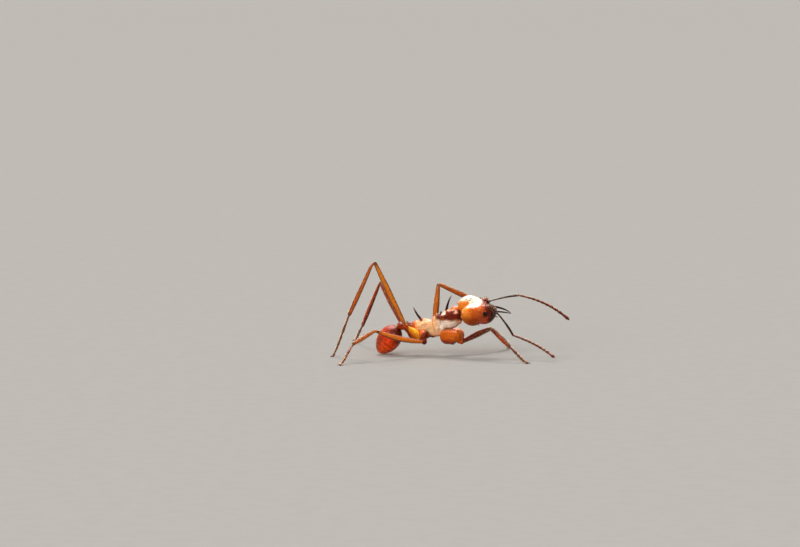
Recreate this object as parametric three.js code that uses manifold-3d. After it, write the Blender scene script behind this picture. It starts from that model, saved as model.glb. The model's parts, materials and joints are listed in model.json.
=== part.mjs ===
// A forager of a leafcutter ant (Atta), life size, walking: the right hind leg is stretched back,
// the left middle leg swings forward clear of the ground and the head is tilted to its right.
// Units are millimetres. +X is the way the ant walks, +Y its left and +Z up. The feet stand on Z = 0,
// and the origin lies under the middle of the whole ant's box.
import * as THREE from 'three';
import { mergeVertices } from 'three/addons/utils/BufferGeometryUtils.js';
import Module from 'manifold-3d';

const wasm = await Module();
wasm.setup();

// ---------------------------------------------------------------- driving dimensions
const GAP = 0.02; // clear space between neighbouring pieces
const LIMB = 0.25; // least radius of a leg or feeler, so that it is half a millimetre thick
const SOLE = 0.07; // height of the middle of a foot above the ground
const SIDES = 8; // facets round a limb
const CAP_STEPS = 2; // rings of facets in each rounded end of a limb
const HALVINGS = 24; // how often the search for a rounded body's skin halves its reach
const FAR = 4; // further out than any rounded body reaches from its middle
const ORIGIN = new THREE.Vector3(1.47, 0.37, 0); // middle of the box, seen from the trunk's own frame

const HEAD = {
  length: 2.75, width: 2.6, height: 1.75, // without the mandibles
  centre: [3.27, 0, 3.17], yaw: 20, pitch: -1, roll: 28,
};
// Places on the head are shares of its length, width and height, from its middle.
const EYE = { place: [0.15, 0.35, 0.17], radii: [0.18, 0.13, 0.17] };
const ANTENNA_SOCKET = [0.3, 0.09, 0.34];
const HEAD_THORN = { root: [-0.36, 0.24, 0.1], tip: [-0.5, 0.27, 0.16], radius: 0.09 };
const MANDIBLE = {
  hinge: [0.393, 0.12, 0.17], stem: 0.16, // the stem reaches back into the head
  length: 1.6, width: 0.2, thickness: 0.3, bulge: 0.16, teeth: 8, tooth: 0.05,
  opening: -8, dip: 24,
};
const THORN_POINT = 0.18; // radius of a thorn's tip as a share of its root's
const SCAPE = 2.75; // first, straight piece of an antenna
const FUNICULUS = 4.1; // the bent rest of it
const GASTER = { length: 2.25, width: 1.8, depth: 1.66, root: [-2.24, 0, 1.96], droop: 53 };

// Each pair of legs: where the coxa leaves the trunk, on the left side, how thick it is there, and
// how long the four pieces of the leg are. The fore coxa is arched, so that its end stays deep.
const FORE = {
  root: [1.28, 0.42, 1.36], thick: 0.55, arch: 0.6,
  coxa: 1.16, femur: 2.75, tibia: 2.1, tarsus: 2.2,
};
const MIDDLE = { root: [-0.45, 0.42, 1.48], thick: 0.37, coxa: 0.73, femur: 3.72, tibia: 2.75, tarsus: 2.6 };
const HIND = { root: [-0.9, 0.42, 1.3], thick: 0.4, coxa: 1.2, femur: 4.9, tibia: 3.85, tarsus: 3.1 };

// Each leg's pose, in degrees: heading from +X towards +Y, and lift above the horizontal.
// A foot stands on the ground unless the lift of its tarsus is given.
const LEGS = {
  right_fore: { pair: FORE, coxa: [-18, -18], femur: [-34, 24], tibia: [-37, -29], tarsus: [-42] },
  left_fore: { pair: FORE, coxa: [18, -18], femur: [56, 11], tibia: [51, -33], tarsus: [93] },
  right_middle: { pair: MIDDLE, coxa: [-67, -43], femur: [-148, 14], tibia: [-120, -13], tarsus: [-104] },
  left_middle: { pair: MIDDLE, coxa: [30, -15], femur: [85, 66.8], tibia: [25, -23], tarsus: [72, -38] },
  right_hind: { pair: HIND, coxa: [-137, 42], femur: [-170, 62], tibia: [-165, -64.5], tarsus: [-166] },
  left_hind: { pair: HIND, coxa: [169, 27], femur: [122, 35], tibia: [135, -56], tarsus: [111] },
};

// A tarsus is a row of joints like beads, with these shares of its length between them.
const BEADS = { between: [0.42, 0.56, 0.69, 0.81], swell: 0.03, slope: 0.07 };

// Each antenna's pose: the scape's heading and lift, then those of the funiculus at its root and tip.
const ANTENNAE = {
  right: { scape: [-22, -47], root: [-26, -12], tip: [-47, -23] },
  left: { scape: [45, 6], root: [10, -10], tip: [-8, -40] },
};

const COLOURS = {
  amber: [0xb4561c, 0.35], // head, legs
  maroon: [0x5a1a10, 0.25], // front of the trunk, mandibles
  rust: [0x8e3412, 0.3], // gaster, petiole
  brown: [0x3a1a10, 0.4], // antennae
  black: [0x14100e, 0.2], // eyes
};

// ---------------------------------------------------------------- small helpers
const radians = THREE.MathUtils.degToRad;
const vector = (p) => new THREE.Vector3(p[0], p[1], p[2]);
const sideOf = (name) => (name.startsWith('left') ? 1 : -1);
const mirrored = (p, side) => new THREE.Vector3(p[0], p[1] * side, p[2]);

function direction([heading, lift]) {
  const flat = Math.cos(radians(lift));
  const angle = radians(heading);
  return new THREE.Vector3(Math.cos(angle) * flat, Math.sin(angle) * flat, Math.sin(radians(lift)));
}

// A closed geometry, with its shared corners merged, as a solid that can be cut and joined.
function solid(geometry) {
  geometry.deleteAttribute('normal');
  geometry.deleteAttribute('uv');
  const merged = mergeVertices(geometry, 1e-6);
  return new wasm.Manifold(new wasm.Mesh({
    numProp: 3,
    vertProperties: merged.attributes.position.array,
    triVerts: new Uint32Array(merged.index.array),
  }));
}

const join = (solids) => solids.reduce((whole, next) => whole.add(next));
const cut = (whole, cutters) => cutters.reduce((rest, next) => rest.subtract(next), whole);

// Everything on the far side of a plane, as a block that cuts it away. The block starts half a gap
// before the plane, so that two pieces cut by the same plane end a gap apart.
function beyond(point, normal, reach = 8) {
  const away = normal.clone().normalize();
  const block = new THREE.BoxGeometry(reach, reach, reach);
  const turn = new THREE.Quaternion().setFromUnitVectors(new THREE.Vector3(0, 0, 1), away);
  const middle = point.clone().addScaledVector(away, reach / 2 - GAP / 2);
  block.applyMatrix4(new THREE.Matrix4().compose(middle, turn, new THREE.Vector3(1, 1, 1)));
  return solid(block);
}

// ---------------------------------------------------------------- rounded bodies
// A rounded body is a set of ellipsoids melted together.
const lump = (centre, radii) => ({ centre, radii });
const bothSides = ([x, y, z], radii) => [1, -1].map((side) => lump([x, y * side, z], radii));

// Under zero inside the melted ellipsoids and over zero outside. The larger the blend, the softer
// the valleys between them.
function depthOutside(point, lumps, blend) {
  let sum = 0;
  for (const { centre, radii } of lumps) {
    const x = (point.x - centre[0]) / radii[0];
    const y = (point.y - centre[1]) / radii[1];
    const z = (point.z - centre[2]) / radii[2];
    const outside = (Math.hypot(x, y, z) - 1) * Math.min(...radii);
    sum += Math.exp(-outside / blend);
  }
  return -blend * Math.log(sum);
}

function distanceToSkin(start, way, lumps, blend) {
  let inside = 0;
  let outside = FAR;
  for (let step = 0; step < HALVINGS; step += 1) {
    const middle = (inside + outside) / 2;
    const point = start.clone().addScaledVector(way, middle);
    if (depthOutside(point, lumps, blend) < 0) {
      inside = middle;
    } else {
      outside = middle;
    }
  }
  return inside;
}

// The skin of melted ellipsoids, found along rays that leave the line between two inner points:
// rings round the line and a pole at each end of it. The rays stand square to the line, or fan out
// from one end to the other, which also finds the rounded ends of lobes beside the line.
function skinOf({ lumps, from, to, rings, sides, blend = 0.08, grow = 0, fan = false }) {
  const start = vector(from);
  const end = vector(to);
  const axis = end.clone().sub(start).normalize();
  const middle = start.clone().lerp(end, 0.5);
  const half = start.distanceTo(end) / 2;
  const front = distanceToSkin(middle, axis, lumps, blend);
  const back = distanceToSkin(middle, axis.clone().negate(), lumps, blend);
  const up = new THREE.Vector3(0, 0, 1).addScaledVector(axis, -axis.z).normalize();
  const left = up.clone().cross(axis);
  const ball = new THREE.SphereGeometry(1, sides, rings);
  const places = ball.attributes.position;
  for (let i = 0; i < places.count; i += 1) {
    const unit = new THREE.Vector3().fromBufferAttribute(places, i);
    const along = unit.y * (unit.y > 0 ? front : back);
    const round = Math.atan2(unit.z, unit.x);
    const way = up.clone().multiplyScalar(Math.cos(round)).addScaledVector(left, Math.sin(round));
    const base = middle.clone().addScaledVector(axis, fan ? unit.y * half : along);
    if (fan) {
      way.multiplyScalar(Math.hypot(unit.x, unit.z)).addScaledVector(axis, unit.y);
      base.addScaledVector(way, distanceToSkin(base, way, lumps, blend) + grow);
    } else {
      const isPole = Math.abs(unit.y) > 0.9999;
      const radius = isPole ? 0 : distanceToSkin(base, way, lumps, blend) + grow;
      base.addScaledVector(way, radius).addScaledVector(axis, grow * unit.y);
    }
    places.setXYZ(i, base.x, base.y, base.z);
  }
  return solid(ball);
}

// ---------------------------------------------------------------- limbs
// A round limb along a curve. The radius is worked out from how far along it a point is, from 0 to 1,
// and both ends are half balls round the ends of the curve.
function limb(curve, radiusAt, { steps = 4, sides = SIDES } = {}) {
  const length = curve.getLength();
  const firstRadius = radiusAt(0);
  const lastRadius = radiusAt(1);
  const stations = [];
  for (let i = 0; i <= CAP_STEPS; i += 1) {
    const angle = (Math.PI / 2) * (i / CAP_STEPS);
    stations.push({ past: -firstRadius * Math.cos(angle), radius: firstRadius * Math.sin(angle) });
  }
  for (let i = 1; i < steps; i += 1) {
    stations.push({ past: (length * i) / steps, radius: radiusAt(i / steps) });
  }
  for (let i = CAP_STEPS; i >= 0; i -= 1) {
    const angle = (Math.PI / 2) * (i / CAP_STEPS);
    stations.push({ past: length + lastRadius * Math.cos(angle), radius: lastRadius * Math.sin(angle) });
  }
  const ball = new THREE.SphereGeometry(1, sides, stations.length - 1);
  const places = ball.attributes.position;
  for (let i = 0; i < places.count; i += 1) {
    const ring = Math.floor(i / (sides + 1));
    const angle = (2 * Math.PI * (i % (sides + 1))) / sides;
    const { past, radius } = stations[ring];
    const on = THREE.MathUtils.clamp(past / length, 0, 1);
    const tangent = curve.getTangentAt(on);
    const across = new THREE.Vector3(-tangent.y, tangent.x, 0).normalize();
    const over = across.clone().cross(tangent);
    const point = curve.getPointAt(on).addScaledVector(tangent, past - on * length);
    point.addScaledVector(across, radius * Math.cos(angle)).addScaledVector(over, radius * Math.sin(angle));
    places.setXYZ(i, point.x, point.y, point.z);
  }
  return solid(ball);
}

// A spindle: one radius at each end and a swelling between them, at a given share of the length.
function spindle(first, middle, last, place = 0.4) {
  return (share) => {
    const swell = share < place ? share / place : (1 - share) / (1 - place);
    const straight = first + (last - first) * share;
    return straight + (middle - straight) * Math.sin((Math.PI / 2) * swell);
  };
}

// A straight thorn that stands on a body, sunk into it at its root.
function thorn(root, tip, radius) {
  const taper = (share) => radius * (1 + (THORN_POINT - 1) * share);
  return limb(new THREE.LineCurve3(root, tip), taper, { steps: 3, sides: 6 });
}

// ---------------------------------------------------------------- placing
const ant = new THREE.Group();

function frameAt(position, [roll, pitch, yaw]) {
  const group = new THREE.Group();
  group.position.copy(position);
  group.rotation.set(radians(roll), radians(pitch), radians(yaw), 'ZYX');
  ant.add(group);
  group.updateMatrixWorld(true);
  return group;
}

// Adds a solid, given in the frame that its group stands in, as a named mesh of that group.
function place(group, name, whole, [colour, roughness]) {
  const { vertProperties, triVerts } = whole.getMesh();
  const geometry = new THREE.BufferGeometry();
  geometry.setAttribute('position', new THREE.BufferAttribute(new Float32Array(vertProperties), 3));
  geometry.setIndex(new THREE.BufferAttribute(new Uint32Array(triVerts), 1));
  geometry.applyMatrix4(group.matrixWorld.clone().invert());
  geometry.computeVertexNormals();
  const material = new THREE.MeshStandardMaterial({ color: colour, roughness, metalness: 0 });
  const mesh = new THREE.Mesh(geometry, material);
  mesh.name = name;
  group.add(mesh);
}

// ---------------------------------------------------------------- head
const headFrame = frameAt(vector(HEAD.centre), [HEAD.roll, HEAD.pitch, HEAD.yaw]);
const fromHead = (whole) => whole.transform([...headFrame.matrixWorld.elements]);

// A place on the head, from its shares, in the head's own frame.
function onHead([x, y, z], side) {
  return new THREE.Vector3(x * HEAD.length, side * y * HEAD.width, z * HEAD.height);
}

// In the head's own frame: two big lobes behind, the face between them, cheeks that narrow towards the
// mandibles, the clypeus in front and a frontal lobe over the root of each antenna.
function headLumps() {
  const { length: l, width: w, height: h } = HEAD;
  return [
    ...bothSides([-0.13 * l, 0.22 * w, 0.01 * h], [0.31 * l, 0.265 * w, 0.45 * h]),
    lump([0.02 * l, 0, 0], [0.36 * l, 0.36 * w, 0.42 * h]),
    ...bothSides([0.17 * l, 0.2 * w, -0.08 * h], [0.26 * l, 0.19 * w, 0.35 * h]),
    lump([0.34 * l, 0, -0.05 * h], [0.2 * l, 0.24 * w, 0.26 * h]),
    ...bothSides([0.25 * l, 0.19 * w, 0.22 * h], [0.1 * l, 0.09 * w, 0.19 * h]),
  ];
}

function headSolid(grow = 0) {
  const half = 0.12 * HEAD.length;
  const line = { from: [-half, 0, 0], to: [half, 0, 0], fan: true };
  return skinOf({ ...line, lumps: headLumps(), rings: 18, sides: 26, blend: 0.05, grow });
}

function eyeSolid(side, grow = 0) {
  const ball = new THREE.SphereGeometry(1, 10, 6);
  ball.scale(...EYE.radii.map((radius) => radius + grow));
  ball.translate(...onHead(EYE.place, side));
  return solid(ball);
}

// The two short thorns at the back corners of the head.
function headThorns() {
  const { root, tip, radius } = HEAD_THORN;
  return [1, -1].map((side) => thorn(onHead(root, side), onHead(tip, side), radius));
}

// A blade drawn with its hinge at the origin, its tip along +X and its toothed edge facing +Y: that
// edge runs straight from the heel to the last and longest tooth, and the outer edge bulges.
function mandibleOutline() {
  const { stem, length, width, bulge, teeth, tooth: height } = MANDIBLE;
  const heel = new THREE.Vector2(0.3 * length, width - height);
  const tip = new THREE.Vector2(length, width - height);
  const shape = new THREE.Shape();
  shape.moveTo(-stem, stem);
  shape.lineTo(heel.x, heel.y);
  for (let tooth = 0; tooth < teeth; tooth += 1) {
    const point = heel.clone().lerp(tip, (tooth + 0.6) / teeth);
    const notch = heel.clone().lerp(tip, (tooth + 1) / teeth);
    shape.lineTo(point.x, point.y + height);
    shape.lineTo(notch.x, notch.y);
  }
  shape.quadraticCurveTo(0.85 * length, -bulge, 0.2 * length, -0.8 * bulge);
  shape.lineTo(-stem, -stem);
  return shape;
}

function mandibleSolid(side) {
  const { hinge, thickness, opening, dip } = MANDIBLE;
  const flat = { depth: thickness, bevelEnabled: false, curveSegments: 5 };
  const blade = new THREE.ExtrudeGeometry(mandibleOutline(), flat);
  blade.translate(0, 0, -thickness / 2);
  if (side > 0) {
    blade.rotateX(Math.PI); // turns the teeth towards the other mandible
  }
  blade.rotateY(radians(dip));
  blade.rotateZ(radians(side * opening));
  blade.translate(...onHead(hinge, side));
  return solid(blade);
}

const headWhole = join([headSolid(), ...headThorns()]);
const sockets = [1, -1].map((side) => eyeSolid(side, GAP));
const headGrown = headSolid(GAP);

// ---------------------------------------------------------------- antennae
// Both pieces of a funiculus follow one curve that leaves the scape's end and sinks towards its tip.
function funiculusCurve(elbow, antenna) {
  const reach = FUNICULUS / 3;
  const root = direction(antenna.root).multiplyScalar(reach);
  const tip = direction(antenna.tip).multiplyScalar(reach);
  const second = elbow.clone().add(root);
  const third = second.clone().add(root.clone().lerp(tip, 0.5));
  return new THREE.CubicBezierCurve3(elbow, second, third, third.clone().add(tip));
}

// The stretch of a curve between two shares of its length.
function partOf(curve, first, last) {
  const shares = [0, 0.2, 0.4, 0.6, 0.8, 1];
  const points = shares.map((share) => curve.getPointAt(first + (last - first) * share));
  return new THREE.CatmullRomCurve3(points);
}

function scapeLine(antenna, side) {
  const socket = onHead(ANTENNA_SOCKET, side).applyMatrix4(headFrame.matrixWorld);
  return new THREE.LineCurve3(socket, direction(antenna.scape).multiplyScalar(SCAPE).add(socket));
}

const scapeShape = (antenna, side, grow = 0) => limb(scapeLine(antenna, side), () => LIMB + grow);

function antennaSolids(antenna, side) {
  const along = direction(antenna.scape);
  const elbow = scapeLine(antenna, side).v2;
  const curve = funiculusCurve(elbow, antenna);
  const leaving = curve.getTangentAt(0);
  const elbowPlane = along.clone().add(leaving);
  const middle = curve.getPointAt(0.5);
  const middlePlane = curve.getTangentAt(0.5);
  const innerShape = limb(partOf(curve, 0, 0.5), () => LIMB);
  const outerShape = limb(partOf(curve, 0.5, 1), spindle(LIMB, 0.27, LIMB));
  const scape = cut(scapeShape(antenna, side), [beyond(elbow, elbowPlane), fromHead(headGrown)]);
  const inner = cut(innerShape, [beyond(elbow, elbowPlane.clone().negate()), beyond(middle, middlePlane)]);
  const outer = cut(outerShape, [beyond(middle, middlePlane.clone().negate())]);
  return { scape, funiculus_inner: inner, funiculus_outer: outer };
}

// ---------------------------------------------------------------- trunk
// One melted body from the neck to the waist, in three regions: the shield-like pronotum with its
// shoulders, the mesothorax and the long, low propodeum with a gland's bulge on each side.
function trunkLumps() {
  return [
    lump([2.2, 0, 2.7], [0.42, 0.2, 0.2]),
    lump([1.95, 0, 2.48], [0.32, 0.3, 0.32]),
    lump([1.42, 0, 2.5], [0.62, 0.6, 0.66]),
    ...bothSides([1.28, 0.38, 2.66], [0.42, 0.26, 0.4]),
    ...bothSides([1.7, 0.32, 2.8], [0.4, 0.24, 0.42]),
    ...bothSides([1.16, 0.34, 3.0], [0.16, 0.13, 0.22]),
    lump([0.72, 0, 2.34], [0.62, 0.5, 0.62]),
    ...bothSides([0.45, 0.24, 1.88], [0.6, 0.32, 0.57]),
    lump([-0.3, 0, 2.14], [0.78, 0.42, 0.42]),
    ...bothSides([-0.62, 0.28, 1.92], [0.5, 0.24, 0.32]),
    lump([-0.98, 0, 2.05], [0.4, 0.32, 0.34]),
  ];
}

function trunkSolid(grow = 0) {
  return skinOf({
    lumps: trunkLumps(), from: [-0.9, 0, 2.1], to: [2.2, 0, 2.62], rings: 22, sides: 18,
    blend: 0.05, grow,
  });
}

// Root, tip and root radius of the thorns of the left side. The longest stand on the shoulders and
// on the back of the propodeum.
const THORNS = {
  pronotum: [[[1.15, 0.34, 3.02], [1.48, 0.42, 4.18], 0.12], [[1.6, 0.4, 2.3], [1.95, 0.66, 2.1], 0.08]],
  mesonotum: [[[0.78, 0.22, 2.8], [0.74, 0.26, 3.1], 0.1], [[0.42, 0.2, 2.65], [0.36, 0.24, 2.9], 0.08]],
  propodeum: [[[-0.62, 0.17, 2.4], [-1.17, 0.2, 3.34], 0.12]],
};

const thornsOf = (region) => THORNS[region].flatMap(([root, tip, radius]) => (
  [1, -1].map((side) => thorn(mirrored(root, side), mirrored(tip, side), radius))
));

// Planes, as a point and a normal, that part the trunk's regions and the knots of the waist.
const cuts = {
  front: [new THREE.Vector3(0.9, 0, 2.4), new THREE.Vector3(1, 0, -0.25)],
  back: [new THREE.Vector3(0.2, 0, 2.3), new THREE.Vector3(1, 0, 0.35)],
  waist: [new THREE.Vector3(-1.28, 0, 2.02), new THREE.Vector3(-1, 0, -0.05)],
  petiole: [new THREE.Vector3(-1.8, 0, 2.03), new THREE.Vector3(-1, 0, 0)],
};
const ahead = ([point, normal]) => beyond(point, normal);
const behind = ([point, normal]) => beyond(point, normal.clone().negate());

// The two knots of the waist: a narrow one with a raised crest and a broader one behind it.
function petioleSolid() {
  return skinOf({
    lumps: [lump([-1.42, 0, 1.98], [0.36, 0.2, 0.17]), lump([-1.55, 0, 2.08], [0.2, 0.24, 0.24])],
    from: [-1.6, 0, 2.0], to: [-1.35, 0, 2.0], rings: 7, sides: 10,
  });
}

function postpetioleSolid() {
  return skinOf({
    lumps: [lump([-2.05, 0, 2.02], [0.32, 0.4, 0.28]), lump([-1.85, 0, 1.98], [0.28, 0.24, 0.2])],
    from: [-2.15, 0, 2.0], to: [-1.85, 0, 2.0], rings: 7, sides: 12,
  });
}

// ---------------------------------------------------------------- gaster
// An egg that hangs from the waist, in the frame of its own axis: +X points from its root to its tip.
const gasterFrame = frameAt(vector(GASTER.root), [0, 180 - GASTER.droop, 0]);

function gasterSolid(grow = 0) {
  const { length: l, width: w, depth: d } = GASTER;
  const body = lump([0.46 * l, 0, 0], [0.46 * l, 0.5 * w, 0.5 * d]);
  const tip = lump([0.68 * l, 0, 0], [0.34 * l, 0.3 * w, 0.32 * d]);
  const egg = skinOf({
    lumps: [body, tip], from: [0.3 * l, 0, 0], to: [0.7 * l, 0, 0], rings: 13, sides: 18, grow,
  });
  return egg.transform([...gasterFrame.matrixWorld.elements]);
}

// ---------------------------------------------------------------- legs
function legJoints(leg, side) {
  const root = mirrored(leg.pair.root, side);
  const hip = root.clone().addScaledVector(direction(leg.coxa), leg.pair.coxa);
  const knee = hip.clone().addScaledVector(direction(leg.femur), leg.pair.femur);
  const ankle = knee.clone().addScaledVector(direction(leg.tibia), leg.pair.tibia);
  const [heading, lift] = leg.tarsus;
  const down = THREE.MathUtils.radToDeg(Math.asin((SOLE - ankle.z) / leg.pair.tarsus));
  const foot = ankle.clone().addScaledVector(direction([heading, lift ?? down]), leg.pair.tarsus);
  return { root, hip, knee, ankle, foot };
}

// The plane that halves the bend at a joint, with its normal pointing on along the leg.
function bendPlane(before, joint, after) {
  const arriving = joint.clone().sub(before).normalize();
  const leaving = after.clone().sub(joint).normalize();
  return [joint, arriving.add(leaving)];
}

// Thinnest between two beads: a long first one, three short ones and the one that bears the claws.
function tarsusRadius(share) {
  const nearest = Math.min(...BEADS.between.map((joint) => Math.abs(share - joint)));
  return LIMB + BEADS.swell * Math.min(1, nearest / BEADS.slope);
}

// Everything under the ground, cut off exactly at Z = 0.
const ground = beyond(new THREE.Vector3(0, 0, GAP / -2), new THREE.Vector3(0, 0, -1), 40);

// A coxa ends a gap short of the hip, where the femur starts as a ball, so the hip needs no cut.
function coxaShape(leg, side, grow = 0) {
  const { root, hip } = legJoints(leg, side);
  const thick = leg.pair.thick + grow;
  const towardsRoot = root.clone().sub(hip).setLength(2 * LIMB + GAP);
  const end = hip.clone().add(towardsRoot);
  const crest = root.clone().lerp(end, 0.8);
  crest.z += leg.pair.arch ?? 0;
  const curve = new THREE.QuadraticBezierCurve3(root, crest, end);
  return limb(curve, spindle(thick, thick, LIMB + grow, 0.2), { sides: 10, steps: 3 });
}

function legSolids(leg, side, neighbours) {
  const { hip, knee, ankle, foot } = legJoints(leg, side);
  const kneePlane = bendPlane(hip, knee, ankle);
  const anklePlane = bendPlane(knee, ankle, foot);
  const middlePlane = [new THREE.Vector3(), new THREE.Vector3(0, -side, 0)];
  const coxa = cut(coxaShape(leg, side), [...neighbours, ahead(middlePlane)]);
  const femurShape = limb(new THREE.LineCurve3(hip, knee), spindle(LIMB, 0.31, 0.26, 0.35), { steps: 6 });
  const femur = cut(femurShape, [ahead(kneePlane)]);
  const tibiaShape = limb(new THREE.LineCurve3(knee, ankle), spindle(0.26, 0.27, LIMB, 0.7));
  const tibia = cut(tibiaShape, [behind(kneePlane), ahead(anklePlane)]);
  const tarsusShape = limb(new THREE.LineCurve3(ankle, foot), tarsusRadius, { steps: 10, sides: 7 });
  const tarsus = cut(tarsusShape, [behind(anklePlane), ground]);
  return { coxa, femur, tibia, tarsus };
}

// ---------------------------------------------------------------- the whole ant
const { amber, maroon, rust, brown, black } = COLOURS;
const trunkWhole = trunkSolid();
const trunkGrown = trunkSolid(GAP);
const headTrimmed = cut(fromHead(cut(headWhole, sockets)), [trunkGrown]);

place(headFrame, 'head', headTrimmed, amber);
for (const name of ['left', 'right']) {
  const side = sideOf(name);
  const scapeGrown = scapeShape(ANTENNAE[name], side, GAP);
  const mandible = cut(fromHead(cut(mandibleSolid(side), [headGrown])), [scapeGrown]);
  place(headFrame, `${name}_eye`, fromHead(eyeSolid(side)), black);
  place(headFrame, `${name}_mandible`, mandible, maroon);
}

for (const [name, antenna] of Object.entries(ANTENNAE)) {
  const solids = antennaSolids(antenna, sideOf(name));
  for (const [piece, whole] of Object.entries(solids)) {
    place(ant, `${name}_${piece}`, whole, brown);
  }
}

const regions = {
  pronotum: [cut(trunkWhole, [behind(cuts.front)]), maroon],
  mesonotum: [cut(trunkWhole, [ahead(cuts.front), behind(cuts.back)]), maroon],
  propodeum: [cut(trunkWhole, [ahead(cuts.back), ahead(cuts.waist)]), amber],
};
for (const [name, [region, colour]] of Object.entries(regions)) {
  place(ant, name, join([region, ...thornsOf(name)]), colour);
}

const gasterCut = gasterSolid(GAP);
place(ant, 'petiole', cut(petioleSolid(), [trunkGrown, behind(cuts.waist), ahead(cuts.petiole)]), rust);
place(ant, 'postpetiole', cut(postpetioleSolid(), [behind(cuts.petiole), gasterCut]), rust);
place(gasterFrame, 'gaster', gasterSolid(), rust);

// Each middle coxa is pressed against the hind one behind it.
for (const [name, leg] of Object.entries(LEGS)) {
  const side = sideOf(name);
  const hindLeg = LEGS[name.replace('middle', 'hind')];
  const neighbours = leg.pair === MIDDLE ? [trunkGrown, coxaShape(hindLeg, side, GAP)] : [trunkGrown];
  const solids = legSolids(leg, side, neighbours);
  for (const [piece, whole] of Object.entries(solids)) {
    place(ant, `${name}_${piece}`, whole, name === 'right_fore' ? maroon : amber);
  }
}

ant.position.copy(ORIGIN).negate();

export default ant;
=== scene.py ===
import json
import math

import bpy
import numpy as np
from mathutils import Matrix

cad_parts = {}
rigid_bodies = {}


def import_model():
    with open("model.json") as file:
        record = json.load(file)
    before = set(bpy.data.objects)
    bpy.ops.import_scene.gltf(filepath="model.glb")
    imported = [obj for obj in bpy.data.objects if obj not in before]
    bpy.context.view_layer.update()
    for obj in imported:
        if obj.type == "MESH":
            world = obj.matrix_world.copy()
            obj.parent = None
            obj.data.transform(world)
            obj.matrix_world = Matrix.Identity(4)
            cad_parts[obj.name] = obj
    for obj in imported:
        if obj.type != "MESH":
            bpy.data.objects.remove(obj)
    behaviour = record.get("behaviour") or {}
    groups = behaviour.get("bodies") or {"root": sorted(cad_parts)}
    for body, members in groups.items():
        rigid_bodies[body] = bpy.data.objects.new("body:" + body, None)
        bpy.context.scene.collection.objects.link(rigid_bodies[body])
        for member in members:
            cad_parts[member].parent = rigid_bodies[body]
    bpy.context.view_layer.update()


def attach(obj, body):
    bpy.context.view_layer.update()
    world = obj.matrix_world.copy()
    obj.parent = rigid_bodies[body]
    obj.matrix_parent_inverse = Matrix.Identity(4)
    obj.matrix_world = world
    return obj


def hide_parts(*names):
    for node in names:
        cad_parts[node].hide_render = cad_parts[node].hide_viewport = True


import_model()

# A leafcutter ant in millimetres, in the trunk's own frame: +X ahead, +Y left, +Z up, feet at Z = 0.
# Meshes are turned into metres, with the frame's origin, as they are made.
ORIGIN = np.array([1.47, 0.37, 0.0])
MM = 0.001

# ---- sizes
HEAD = dict(size=(2.75, 2.6, 1.75), centre=(3.27, 0, 3.17), roll=28, pitch=-1, yaw=20)
EYE = dict(place=(0.4125, 0.91, 0.2975), radii=(0.17, 0.12, 0.16))
MANDIBLE = dict(hinge=(1.1, 0.31, 0.07), length=1.56, reach=0.08, teeth=10, opening=-8)
SOCKET = (0.825, 0.234, 0.56)
SCAPE = 2.75
FUNICULUS = 4.1
GASTER = dict(size=(2.25, 1.8, 1.66), root=(-2.24, 0, 1.96), droop=53)
SOLE = 0.07
SINK = 0.015  # how far skins lie under their lumps, as room for ridges
KNEE_SHIFT = np.array([0.16, 0.02, 0.09])  # of the hook at the right hind knee

FORE = dict(root=(1.28, 0.42, 1.36), thick=0.55, arch=0.3, coxa=1.16, femur=2.75, tibia=2.1, tarsus=2.2,
            fat=0.19, shin=0.17, toe=0.115)
MIDDLE = dict(root=(-0.45, 0.42, 1.48), thick=0.37, coxa=0.73, femur=3.72, tibia=2.75, tarsus=2.6,
              fat=0.19, shin=0.15, toe=0.1)
HIND = dict(root=(-0.9, 0.42, 1.3), thick=0.4, coxa=1.2, femur=4.9, tibia=3.85, tarsus=3.1,
            fat=0.2, shin=0.15, toe=0.1)
# heading and lift in degrees of coxa, femur, tibia and foot. A standing foot's lift is worked out.
LEGS = {
    "right_fore": (FORE, (-18, -18), (-34, 24), (-37, -29), (-42,)),
    "left_fore": (FORE, (18, -18), (56, 11), (51, -33), (93,)),
    "right_middle": (MIDDLE, (-67, -43), (-148, 14), (-120, -13), (-104,)),
    "left_middle": (MIDDLE, (30, -15), (85, 66.8), (25, -23), (72, -38)),
    "right_hind": (HIND, (-137, 42), (-170, 62), (-165, -64.5), (-166,)),
    "left_hind": (HIND, (169, 27), (122, 35), (135, -56), (111,)),
}
# heading and lift of the scape, and of the whip at its root and at its tip
ANTENNAE = {
    "right": ((-22, -47), (-26, -12), (-47, -23)),
    "left": ((45, 6), (10, -10), (-8, -40)),
}


# ---- colour
def rgb(code):
    """A colour such as "c8641a" as three linear numbers."""
    parts = np.array([int(code[i:i + 2], 16) / 255 for i in (0, 2, 4)])
    return np.where(parts < 0.04045, parts / 12.92, ((parts + 0.055) / 1.055) ** 2.4)


ORANGE = rgb("cf5f0a")
GOLD = rgb("e88a1c")
RUST = rgb("a03206")
RED = rgb("7e1c06")
MAROON = rgb("64130a")
DARK = rgb("260703")
WINE = rgb("701a06")
BROWN = rgb("2c130b")
BLACK = rgb("0c0807")
ROSE = rgb("b04a26")
IVORY = rgb("ffe2c0")
# white of the trunk's painted highlights
HIGHLIGHT_WHITE = rgb("fff0dc")
CREAM = rgb("fac896")
STRAW = rgb("ecca88")
UMBER = rgb("8a2c04")
CORAL = rgb("c85428")
CHESTNUT = rgb("8e3c12")
ASH = rgb("a8a2a2")
PINK = rgb("f0b49c")
SCARLET = rgb("f44402")
FLAME = rgb("ff5c02")
BRICK = rgb("8a2204")
AMBER = rgb("f4a41e")


def mix(first, second, share):
    share = np.asarray(share)[..., None]
    return first * (1 - share) + second * share


def painted(ground, *coats):
    """A ground colour under coats of (colour, share), laid on in turn."""
    for colour, share in coats:
        ground = mix(ground, colour, share)
    return ground


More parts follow.
